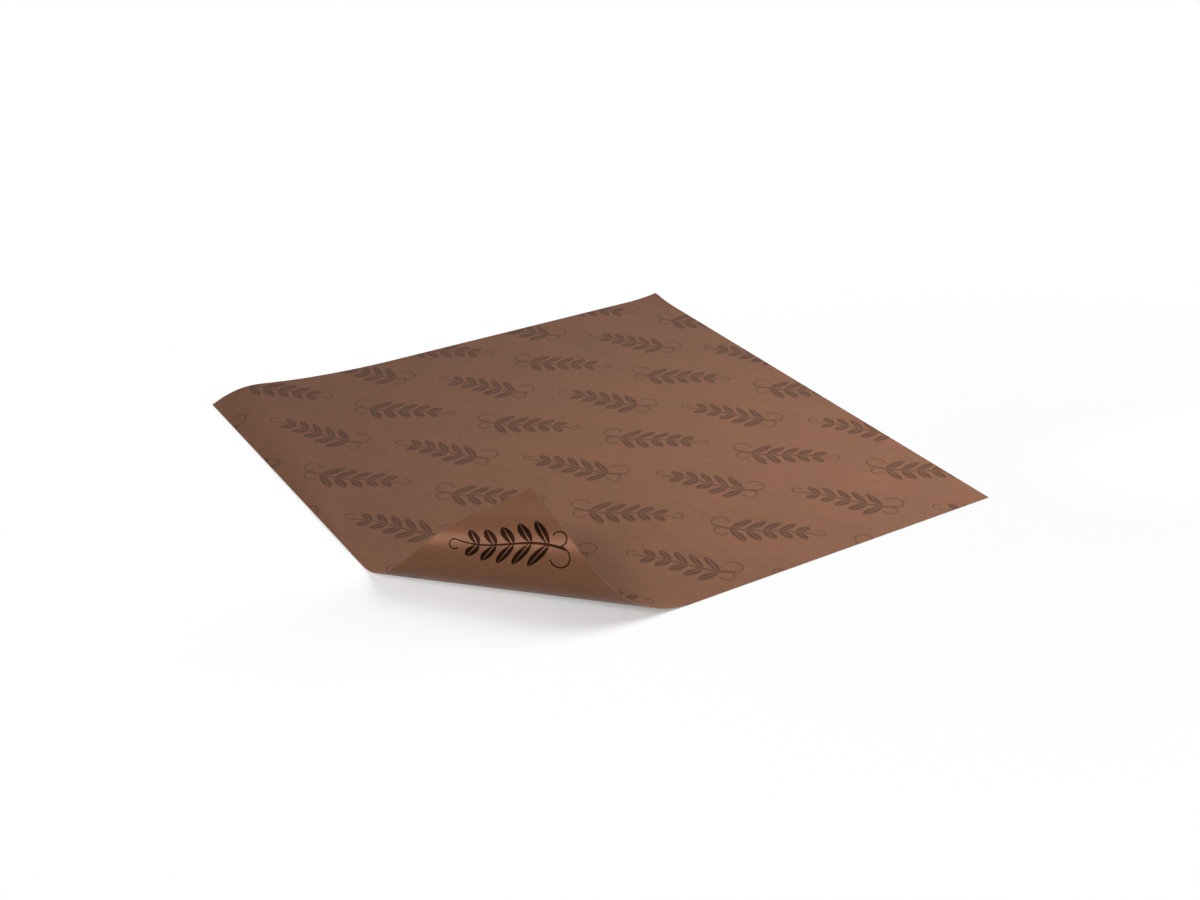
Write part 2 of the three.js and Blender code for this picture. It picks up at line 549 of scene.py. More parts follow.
@dataclass
class BentCorner:
    """A corner that leaves the floor: its bends, and the smooth surface that runs through them."""

    name: CornerName
    stock: SheetStock
    bend_steps: int = 18
    rule_steps: int = 24
    seam: float = 0.06 * MM
    bends: list[Bend] = field(default_factory=list)
    rows: list[BentRow] = field(default_factory=list)

    def __post_init__(self) -> None:
        """Reads the bend lines from the frame and lays the smooth surface."""
        self._lay_rows(self._lines_from_frame())

    @property
    def tip(self) -> Array:
        """Gives the corner's flat place."""
        return self.stock.corner(self.name)

    @property
    def border(self) -> BendLine:
        """Gives the line where the corner leaves the flat panel."""
        return self.bends[0].entry

    def body(self, strip: int) -> str:
        """Names a strip's CAD body, where strip 0 is the main panel."""
        return f"{self.name.value}_strip_{strip}" if strip else "main_panel"

    def _lines_from_frame(self) -> list[BendLine]:
        """Unrolls the corner's hinges: every hinge at its lower limit lays the corner flat.

        Returns:
            The bend lines, from the panel to the tip.
        """
        prefix = f"{self.name.value}_bend_"
        hinges = [j for j in frame["joints"] if j["name"].startswith(prefix)]
        hinges.sort(key=lambda j: int(j["name"].removeprefix(prefix)))
        unroll = np.eye(4)
        lines = []
        for hinge in hinges:
            pivot, axis = np.array(hinge["pos_m"]), np.array(hinge["axis"])
            to_flat = math.radians(hinge["range_deg"][0])
            point = (unroll @ np.append(pivot, 1.0))[:2]
            flat_axis = (unroll[:3, :3] @ axis)[:2]
            lines.append(self.stock.bend_line(point, flat_axis, -to_flat, self.tip))
            unroll = unroll @ turn_about(pivot, axis, to_flat)
        return lines

    def _lay_rows(self, lines: list[BendLine]) -> None:
        """Lays the rows of every bend, and of the flat tip beyond the last one.

        Args:
            lines: The bend lines, from the panel to the tip.
        """
        tip = BendLine(self.tip, self.tip)
        borders = [lines[0].towards(lines[1], -0.5)]
        borders += [a.towards(b, 0.5) for a, b in zip(lines, lines[1:] + [tip])]
        placed = np.eye(4)
        placed[2, 3] = self.stock.thickness / 2
        for entry, line, leave in zip(borders, lines, borders[1:]):
            turned = placed @ line.matrix()
            bend = Bend(entry, line, leave, placed, turned)
            self.bends.append(bend)
            first = 1 if self.rows else 0
            self.rows += [bend.row(step / self.bend_steps) for step in range(first, self.bend_steps + 1)]
            placed = turned
        last, tip_ends = self.rows[-1], Bend.ends(tip, placed)
        tip_steps = self.bend_steps // 2
        for share in np.arange(1, tip_steps + 1) / tip_steps:
            bent = between(last.bent, tip_ends, share)
            self.rows.append(BentRow(borders[-1].towards(tip, share), bent, last.normals))

    def length_of(self, strip: int) -> SheetLength:
        """Cuts and bends one strip's length of the sheet.

        Args:
            strip: The strip's number, from 1.

        Returns:
            The length, from the middle of the strip before to the middle of this one.
        """
        last_row = len(self.rows) - 1
        first = (strip - 1) * self.bend_steps
        final = last_row if strip == len(self.bends) else strip * self.bend_steps
        rows = [
            self.rows[i].lay(1 if i == last_row else self.rule_steps + 1) for i in range(first, final + 1)
        ]
        starts = np.cumsum([0] + [len(flat) for flat, _, _ in rows]).tolist()
        faces = []
        for here, there, row in zip(starts, starts[1:], rows[1:]):
            for i in range(self.rule_steps):
                beyond = (there,) if len(row[0]) == 1 else (there + i + 1, there + i)
                faces.append((here + i, here + i + 1, *beyond))
        cut_edges = [
            np.array([flat[0] for flat, _, _ in reversed(rows)]),
            np.array([flat[-1] for flat, _, _ in rows]),
        ]
        return SheetLength(*(np.vstack(part) for part in zip(*rows)), faces, cut_edges)

    def lift(self, flat: Array) -> Array:
        """Bends points given by their flat place and height over the sheet's middle.

        Args:
            flat: One row of x, y and height for each point.

        Returns:
            The bent places.
        """
        rows = self.rows[:-1]
        starts = np.array([row.flat.start for row in rows])
        outward = np.array([row.flat.outward for row in rows])
        passed = (((flat[:, None, :2] - starts[None]) * outward[None]).sum(axis=2) > 0).sum(axis=1)
        matrices = np.array([row.matrix() for row in rows])[np.maximum(passed - 1, 0)]
        bent = np.einsum("nij,nj->ni", matrices, np.column_stack([flat, np.ones(len(flat))]))
        return bent[:, :3]


class Wire:
    """An output of a node, which can be added, multiplied and so on like a number."""

    def __init__(self, bench: "NodeBench", socket: bpy.types.NodeSocket) -> None:
        """Takes up an output of a node on a bench."""
        self.bench = bench
        self.socket = socket

    def __add__(self, other: object) -> "Wire":
        """Adds another value."""
        return self.bench.math("ADD", self, other)

    def __sub__(self, other: object) -> "Wire":
        """Takes another value away from this one."""
        return self.bench.math("SUBTRACT", self, other)

    def __rsub__(self, other: float) -> "Wire":
        """Takes this value away from a number."""
        return self.bench.math("SUBTRACT", other, self)

    def __mul__(self, other: object) -> "Wire":
        """Multiplies by another value."""
        return self.bench.math("MULTIPLY", self, other)

    def __truediv__(self, other: object) -> "Wire":
        """Divides by another value."""
        return self.bench.math("DIVIDE", self, other)

    def __abs__(self) -> "Wire":
        """Drops the value's sign."""
        return self.bench.math("ABSOLUTE", self)


class NodeOutputs:
    """What comes out of a node on a bench, by name, by number or in turn."""

    def __init__(self, bench: "NodeBench", node: bpy.types.Node) -> None:
        """Takes up the outputs of a node on a bench."""
        self.bench = bench
        self.node = node

    def __getitem__(self, key: str | int) -> Wire:
        """Gives one output."""
        return Wire(self.bench, self.node.outputs[key])

    def __iter__(self) -> Iterator[Wire]:
        """Gives every output in turn."""
        return (Wire(self.bench, socket) for socket in self.node.outputs)


@dataclass(frozen=True)
class Grain:
    """How fine a noise is, how many octaves it has and how strong the finer ones are."""

    scale: float
    detail: float
    roughness: float = 0.5


class NodeBench:
    """Adds nodes to a tree and wires them, from left to right."""

    column_width = 180
    row_height = 170
    rows = 6

    def __init__(self, tree: Tree) -> None:
        """Starts a bench on a tree."""
        self.tree = tree
        self.count = 0

    @classmethod
    def cleared(cls, block: Material | bpy.types.World) -> "NodeBench":
        """Clears a tree and starts a bench on it.

        Args:
            block: The material or the world that has the tree.

        Returns:
            The bench.
        """
        block.use_nodes = True
        block.node_tree.nodes.clear()
        return cls(block.node_tree)

    def add(self, kind: str, feeds: Feeds | None = None, **settings: object) -> NodeOutputs:
        """Adds a node.

        Args:
            kind: The node's type name.
            feeds: Wires or constants, by the names or numbers of the inputs that take them.
            **settings: Properties to set on the node first.

        Returns:
            The node's outputs.
        """
        node = self.tree.nodes.new(kind)
        column, row = divmod(self.count, self.rows)
        node.location = (self.column_width * column, -self.row_height * row)
        self.count += 1
        for key, value in settings.items():
            setattr(node, key, value)
        for name, value in (feeds or {}).items():
            if isinstance(value, Wire):
                self.tree.links.new(value.socket, node.inputs[name])
            else:
                node.inputs[name].default_value = value
        return NodeOutputs(self, node)

    def math(self, operation: str, *values: object, clamp: bool = False) -> Wire:
        """Adds a Math node.

        Args:
            operation: The operation's name.
            *values: Wires or numbers for its inputs.
            clamp: Whether the result is held between 0 and 1.

        Returns:
            The result.
        """
        return self.add("ShaderNodeMath", dict(enumerate(values)), operation=operation, use_clamp=clamp)[0]

    def vector(self, operation: str, *values: object) -> Wire:
        """Adds a Vector Math node.

        Args:
            operation: The operation's name.
            *values: Wires, vectors or, for a scale, the factor.

        Returns:
            The result, which is a plain value for a dot product.
        """
        feeds = dict(zip((0, "Scale" if operation == "SCALE" else 1), values))
        result = self.add("ShaderNodeVectorMath", feeds, operation=operation)
        return result["Value" if operation == "DOT_PRODUCT" else 0]

    def mix(self, share: Wire, first: object, second: object) -> Wire:
        """Adds a colour mix.

        Args:
            share: How much of the second colour shows.
            first: The colour at 0.
            second: The colour at 1.

        Returns:
            The mixed colour.
        """
        feeds = {"Factor": share, "A": first, "B": second}
        return self.add("ShaderNodeMix", feeds, data_type="RGBA")["Result"]

    def noise(self, place: Wire, grain: Grain) -> Wire:
        """Adds a noise texture.

        Args:
            place: Where the noise is read.
            grain: Its grain.

        Returns:
            Its value.
        """
        feeds = {
            "Vector": place,
            "Scale": grain.scale,
            "Detail": grain.detail,
            "Roughness": grain.roughness,
        }
        return self.add("ShaderNodeTexNoise", feeds, noise_dimensions="3D")[0]

    def bump(self, distance: float, height: Wire, **feeds: object) -> Wire:
        """Adds a Bump node.

        Args:
            distance: How far a height of 1 stands out.
            height: The height, from 0 to 1.
            **feeds: Other inputs by name.

        Returns:
            The bumped normal.
        """
        relief = {"Strength": 1.0, "Distance": distance, "Height": height}
        return self.add("ShaderNodeBump", {**relief, **feeds})[0]

    def seen(self) -> Wire:
        """Tells what the camera sees from light that falls on the scene.

        Returns:
            1 for what is seen, straight or by way of gloss or glass, and 0 for other light.
        """
        path = self.add("ShaderNodeLightPath")
        seen = self.math("MAXIMUM", path["Is Camera Ray"], path["Is Glossy Ray"])
        return self.math("MAXIMUM", seen, path["Is Transmission Ray"])


def new_group(
    name: str, inputs: dict[str, float | Place], outputs: tuple[str, ...]
) -> tuple[NodeBench, NodeOutputs]:
    """Starts a shader node group with named sockets.

    Args:
        name: The group's name.
        inputs: Defaults by input name. One with three numbers makes a vector input.
        outputs: The names of its outputs, which are all plain values.

    Returns:
        A bench on the group, and what comes into it by name.
    """
    tree = bpy.data.node_groups.new(name, "ShaderNodeTree")
    for socket_name, default in inputs.items():
        kind = "NodeSocketVector" if isinstance(default, tuple) else "NodeSocketFloat"
        tree.interface.new_socket(socket_name, in_out="INPUT", socket_type=kind).default_value = default
    for socket_name in outputs:
        tree.interface.new_socket(socket_name, in_out="OUTPUT", socket_type="NodeSocketFloat")
    bench = NodeBench(tree)
    return bench, bench.add("NodeGroupInput")


def new_material(name: str) -> tuple[Material, NodeBench]:
    """Starts an empty material and a bench on its nodes."""
    material = bpy.data.materials.new(name)
    return material, NodeBench.cleared(material)


def put_in_scene(name: str, data: bpy.types.ID) -> Piece:
    """Puts a mesh, a lamp or a camera in the scene.

    Args:
        name: The object's name.
        data: The mesh, the lamp or the camera.

    Returns:
        The object.
    """
    thing = bpy.data.objects.new(name, data)
    bpy.context.scene.collection.objects.link(thing)
    return thing


@dataclass(frozen=True)
class GlassWeave:
    """The plain weave of the glass cloth, as it shows through the coats."""

    warp_pitch: float = 0.58 * MM
    weft_pitch: float = 0.79 * MM
    streak_length: float = 9 * MM
    crimp: float = 0.3  # how much a yarn's height goes up and down as it passes over and under
    gap_start: float = 1.5
    gap_slope: float = 2.4
    yarn_change: float = 1.3  # how far the tone's noise moves on from one yarn to the next
    streaks: Grain = Grain(1.0, 2.0)
    name: str = "glass_weave"

    def build(self) -> Tree:
        """Builds the group that gives the weave's height, its gaps and the yarns' streaky tone.

        Returns:
            The node group.
        """
        inputs = {
            "Place": ORIGIN,
            "Warp Pitch": self.warp_pitch,
            "Weft Pitch": self.weft_pitch,
            "Streak Length": self.streak_length,
        }
        bench, given = new_group(self.name, inputs, ("Height", "Gap", "Tone"))
        x, y, _ = bench.add("ShaderNodeSeparateXYZ", {0: given["Place"]})
        warp, weft = x / given["Warp Pitch"], y / given["Weft Pitch"]
        crowns, tones = [], []
        for yarn, other, length, phase in ((warp, weft, y, 0.0), (weft, warp, x, math.pi)):
            number = bench.math("FLOOR", yarn)
            side = bench.math("FRACT", yarn) * 2.0 - 1.0
            wave = bench.math("COSINE", (other + number + 0.5) * math.pi + phase)
            crowns.append((1.0 - side * side) * (wave * self.crimp + (1.0 - self.crimp)))
            streak = {0: number * self.yarn_change + phase, 1: length / given["Streak Length"]}
            tones.append(bench.noise(bench.add("ShaderNodeCombineXYZ", streak)[0], self.streaks))
        height = bench.math("MAXIMUM", *crowns)
        gap = bench.math("SUBTRACT", self.gap_start, height * self.gap_slope, clamp=True)
        tone = bench.math("SUBTRACT", tones[0] + tones[1], 0.5, clamp=True)
        bench.add("NodeGroupOutput", {"Height": height, "Gap": gap, "Tone": tone})
        return bench.tree


@dataclass(frozen=True)
class SprigPrint:
    """The print: rows of leafy sprigs with curled tendrils, each row pointing the other way.

    The stem, its leaves and its tendrils are measured in lengths of the sprig, from its middle.
    """

    sprig_length: float = 64 * MM
    column_pitch: float = 84 * MM
    row_pitch: float = 47 * MM
    softness: float = 0.15 * MM
    slant_deg: float = 45.0
    stem_half: float = 0.48
    stem_sway: float = 0.045
    stem_waves: float = 5.2
    stem_width: float = 0.010
    stem_taper: float = 0.008
    leaf_pitch: float = 0.15
    leaf_shift: float = 0.40
    leaf_rake: float = 0.75
    leaf_reach: float = 0.155
    leaf_taper: float = 0.15
    leaf_width: float = 0.135
    leaf_fullness: float = 0.7
    leaf_point: float = 0.12
    leaves_half: float = 0.36
    leaves_middle: float = -0.025
    vein_width: float = 0.007
    vein_taper: float = 0.006
    tendril_width: float = 0.0065
    tendril_opening: float = 0.45
    # Each tendril's middle along and across the sprig, its radius, and its open side in degrees
    tendrils: tuple[tuple[float, float, float, float], ...] = (
        (-0.44, 0.050, 0.085, -45.0),
        (-0.41, -0.105, 0.064, 45.0),
        (0.475, 0.068, 0.043, 206.0),
    )
    name: str = "sprig_print"

    def build(self) -> Tree:
        """Builds the group that gives the ink's mask.

        Returns:
            The node group.
        """
        inputs = {
            "Place": ORIGIN,
            "Sprig Length": self.sprig_length,
            "Column Pitch": self.column_pitch,
            "Row Pitch": self.row_pitch,
            "Softness": self.softness,
        }
        bench, given = new_group(self.name, inputs, ("Ink",))
        along, across = self._place_on_sprig(bench, given)
        sharpness = given["Sprig Length"] * 0.5 / given["Softness"]

        def inked(*depths: Wire) -> Wire:
            """Turns how deep a place lies inside each bound of a form into ink with a soft edge."""
            shares = (bench.math("MULTIPLY_ADD", depth, sharpness, 0.5, clamp=True) for depth in depths)
            return reduce(operator.mul, shares)

        off_stem = abs(across - bench.math("SINE", along * self.stem_waves) * self.stem_sway)
        stem_width = self.stem_width - along * self.stem_taper
        stem = inked(stem_width - off_stem, self.stem_half - abs(along))

        raked = along - off_stem * self.leaf_rake
        step = bench.math("FRACT", (raked + self.leaf_shift) / self.leaf_pitch)
        off_leaf = abs((step - 0.5) * self.leaf_pitch)
        reach = off_stem / (self.leaf_reach - raked * self.leaf_taper)
        bulge = bench.math("MAXIMUM", reach * (1.0 - reach), 0.0)
        leaf_width = bench.math("POWER", bulge, self.leaf_fullness) * self.leaf_width
        vein_width = self.vein_width - reach * self.vein_taper
        leaves = inked(
            leaf_width - off_leaf,
            off_leaf - vein_width,
            (1.0 - reach) * self.leaf_point,
            self.leaves_half - abs(raked - self.leaves_middle),
        )

        forms = [stem, leaves]
        for middle_along, middle_across, radius, open_deg in self.tendrils:
            dx, dy = along - middle_along, across - middle_across
            off_ring = abs(bench.math("SQRT", dx * dx + dy * dy) - radius)
            opening = dx * math.cos(math.radians(open_deg)) + dy * math.sin(math.radians(open_deg))
            forms.append(inked(self.tendril_width - off_ring, radius * self.tendril_opening - opening))
        bench.add("NodeGroupOutput", {"Ink": reduce(partial(bench.math, "MAXIMUM"), forms)})
        return bench.tree

    def _place_on_sprig(self, bench: NodeBench, given: NodeOutputs) -> tuple[Wire, Wire]:
        """Finds where a place lies on the sprig that is printed round it.

        Args:
            bench: The print's bench.
            given: What comes into the group by name.

        Returns:
            The places along and across the sprig, in lengths of the sprig from its middle.
        """
        slant = {"Vector": given["Place"], "Angle": math.radians(self.slant_deg)}
        turned = bench.add("ShaderNodeVectorRotate", slant, rotation_type="Z_AXIS")[0]
        x, y, _ = bench.add("ShaderNodeSeparateXYZ", {0: turned})
        row = y / given["Row Pitch"]
        odd = bench.math("FLOORED_MODULO", bench.math("FLOOR", row), 2.0)
        column = x / given["Column Pitch"] + odd * 0.5
        along = (bench.math("FRACT", column) - 0.5) * (given["Column Pitch"] / given["Sprig Length"])
        across = (bench.math("FRACT", row) - 0.5) * (given["Row Pitch"] / given["Sprig Length"])
        return along * (1.0 - odd * 2.0), across


@dataclass(frozen=True)
class CoatUnevenness:
    """Slow changes over the coat: cloudy tone, dull patches, and the sheet's faint waviness."""

    cloud: Grain = Grain(28.0, 4.0, 0.6)
    dull: Grain = Grain(420.0, 3.0, 0.6)
    dull_squeeze: Place = (1.0, 0.12, 1.0)
    waviness: Grain = Grain(22.0, 1.0, 0.35)
    name: str = "coat_unevenness"

    def build(self) -> Tree:
        """Builds the group that gives cloud, dullness and waviness, each about 0 to 1.

        Returns:
            The node group.
        """
        bench, given = new_group(self.name, {"Place": ORIGIN}, ("Cloud", "Dull", "Waviness"))
        drawn_out = bench.vector("MULTIPLY", given["Place"], self.dull_squeeze)
        changes = {
            "Cloud": bench.noise(given["Place"], self.cloud),
            "Dull": bench.noise(drawn_out, self.dull),
            "Waviness": bench.noise(given["Place"], self.waviness),
        }
        bench.add("NodeGroupOutput", changes)
        return bench.tree


@dataclass(frozen=True)
class CoatFinish:
    """A non-stick coat: satin, brown, with the weave and the print showing in it or through it."""

    name: str
    colour: Colour
    patch_colour: Colour
    gap_colour: Colour
    ink_colour: Colour
    ink_cover: float
    ink_softness: float
    roughness: float
    refraction: float
    sheen: float
    ink_sheen: float
    gap_cover: float = 0.5
    streak_low: float = 0.81
    streak_spread: float = 0.28
    cloud_low: float = 0.94
    cloud_spread: float = 0.22
    dull_spread: float = 0.14
    weave_depth: float = 0.016 * MM
    wave_depth: float = 0.35 * MM

    def make(self, weave: Tree, sprigs: Tree, uneven: Tree) -> Material:
        """Builds the coat's material.

        Args:
            weave: The weave group.
            sprigs: The print group.
            uneven: The group of slow changes.

        Returns:
            The material.
        """
        material, bench = new_material(self.name)
        place = {"Place": bench.add("ShaderNodeAttribute", attribute_name=FLAT_PLACE)["Vector"]}
        softened = {**place, "Softness": self.ink_softness}
        cloth = bench.add("ShaderNodeGroup", place, node_tree=weave)
        slow = bench.add("ShaderNodeGroup", place, node_tree=uneven)
        printed = bench.add("ShaderNodeGroup", softened, node_tree=sprigs)
        body = bench.mix(slow["Cloud"], linear(self.colour), linear(self.patch_colour))
        body = bench.mix(cloth["Gap"] * self.gap_cover, body, linear(self.gap_colour))
        streak = cloth["Tone"] * self.streak_spread + self.streak_low
        cloud = slow["Cloud"] * self.cloud_spread + self.cloud_low
        body = bench.vector("SCALE", body, streak * cloud)
        cover = printed["Ink"] * self.ink_cover
        sheen = self.sheen
        if self.ink_sheen != self.sheen:
            sheen = cover * (self.ink_sheen - self.sheen) + self.sheen
        waved = bench.bump(self.wave_depth, slow["Waviness"])
        surface = {
            "Base Color": bench.mix(cover, body, linear(self.ink_colour)),
            "Roughness": slow["Dull"] * self.dull_spread + (self.roughness - self.dull_spread / 2),
            "IOR": self.refraction,
            "Metallic": sheen,
            "Normal": bench.bump(self.weave_depth, cloth["Height"], Normal=waved),
        }
        shader = bench.add("ShaderNodeBsdfPrincipled", surface)[0]
        bench.add("ShaderNodeOutputMaterial", {"Surface": shader})
        return material


@dataclass(frozen=True)
class GlassFinish:
    """Bare glass yarn at a cut edge: pale, dry and a little uneven."""

    name: str = "cut_glass_yarn"
    colour: Colour = (196, 172, 148)
    stained_colour: Colour = (150, 112, 88)
    roughness: float = 0.7

    def make(self, weave: Tree) -> Material:
        """Builds the yarn's material.

        Args:
            weave: The weave group.

        Returns:
            The material.
        """
        material, bench = new_material(self.name)
        place = bench.add("ShaderNodeAttribute", attribute_name=FLAT_PLACE)["Vector"]
        cloth = bench.add("ShaderNodeGroup", {"Place": place}, node_tree=weave)
        stain = bench.mix(cloth["Tone"], linear(self.colour), linear(self.stained_colour))
        surface = {"Base Color": stain, "Roughness": self.roughness}
        shader = bench.add("ShaderNodeBsdfPrincipled", surface)[0]
        bench.add("ShaderNodeOutputMaterial", {"Surface": shader})
        return material


@dataclass(frozen=True)
class YarnEnds:
    """The cut yarns that stand a hair proud of the sheet's raw edges."""

    pitch: float = 0.58 * MM
    width: float = 0.44 * MM
    thickness: float = 0.085 * MM
    shortest: float = 0.05 * MM
    longest: float = 0.22 * MM
    sides: int = 6
    seed: int = 14
    rooted: float = 0.4  # how far a yarn end's middle stands out from the edge, as a share of its length
    root_radius: float = 0.5  # as a share of the width and the thickness, and so is the tip's
    tip_radius: float = 0.3

    def build_tree(self) -> Tree:
        """Builds the tree that sets a yarn end at every pitch along an edge, pointing out to its right.

        Returns:
            The Geometry Nodes tree.
        """
        tree = bpy.data.node_groups.new("cut_yarn_ends", "GeometryNodeTree")
        tree.is_modifier = True
        kinds = {"Geometry": "Geometry"}
        kinds |= dict.fromkeys(("Pitch", "Width", "Thickness", "Shortest", "Longest"), "Float")
        kinds |= {"Seed": "Int", "Finish": "Material"}
        for name, kind in kinds.items():
            tree.interface.new_socket(name, in_out="INPUT", socket_type=f"NodeSocket{kind}")
        tree.interface.new_socket("Geometry", in_out="OUTPUT", socket_type="NodeSocketGeometry")
        bench = NodeBench(tree)
        given = bench.add("NodeGroupInput")
        curve = bench.add("GeometryNodeMeshToCurve", {0: given["Geometry"]})[0]
        spacing = {"Curve": curve, "Length": given["Pitch"]}
        points = bench.add("GeometryNodeResampleCurve", spacing, mode="LENGTH")[0]
        taper = {"Radius Top": self.tip_radius, "Radius Bottom": self.root_radius, "Depth": 1.0}
        cone = bench.add("GeometryNodeMeshCone", {"Vertices": self.sides, **taper}, fill_type="NGON")
        lying = {"Rotation": (math.pi / 2, 0.0, 0.0), "Translation": (0.0, self.rooted, 0.0)}
        laid = bench.add("GeometryNodeTransform", {"Geometry": cone["Mesh"], **lying})[0]
        tangent = {"Vector": bench.add("GeometryNodeInputTangent")[0]}
        facing = bench.add("FunctionNodeAlignRotationToVector", tangent, axis="X", pivot_axis="Z")[0]
        lengths = {"Min": given["Shortest"], "Max": given["Longest"], "Seed": given["Seed"]}
        length = bench.add("FunctionNodeRandomValue", lengths, data_type="FLOAT")["Value"]
        sizes = {0: given["Width"], 1: length, 2: given["Thickness"]}
        size = bench.add("ShaderNodeCombineXYZ", sizes)[0]
        setting = {"Points": points, "Instance": laid, "Rotation": facing, "Scale": size}
        ends = bench.add("GeometryNodeInstanceOnPoints", setting)[0]
        real = bench.add("GeometryNodeRealizeInstances", {0: ends})[0]
        dress = {"Geometry": real, "Material": given["Finish"]}
        bench.add("NodeGroupOutput", {0: bench.add("GeometryNodeSetMaterial", dress)[0]})
        return tree

    def make_flat(self, name: str, edges: list[Array], tree: Tree, finish: Material) -> Mesh:
        """Runs the tree along flat edges.

        Args:
            name: The mesh's name.
            edges: Flat points along each edge, with the sheet on the left.
            tree: The tree from build_tree.
            finish: The yarn's material.

        Returns:
            A plain mesh of the yarn ends, still flat.
        """
        points, lines = [], []
        for edge in edges:
            first = len(points)
            points += [(x, y, 0.0) for x, y in edge]
            lines += [(i, i + 1) for i in range(first, len(points) - 1)]
        source = bpy.data.meshes.new(name + "_edge")
        source.from_pydata(points, lines, [])
        holder = put_in_scene(source.name, source)
        modifier = holder.modifiers.new("yarn_ends", "NODES")
        modifier.node_group = tree
        values = {
            "Pitch": self.pitch,
            "Width": self.width,
            "Thickness": self.thickness,
            "Shortest": self.shortest,
            "Longest": self.longest,
            "Seed": self.seed + len(points),
            "Finish": finish,
        }
        for item in tree.interface.items_tree:
            if item.in_out == "INPUT" and item.name in values:
                modifier[item.identifier] = values[item.name]
        depsgraph = bpy.context.evaluated_depsgraph_get()
        mesh = bpy.data.meshes.new_from_object(holder.evaluated_get(depsgraph))
        mesh.name = name
        holder.modifiers.remove(modifier)
        bpy.data.objects.remove(holder)
        bpy.data.meshes.remove(source)
        return mesh


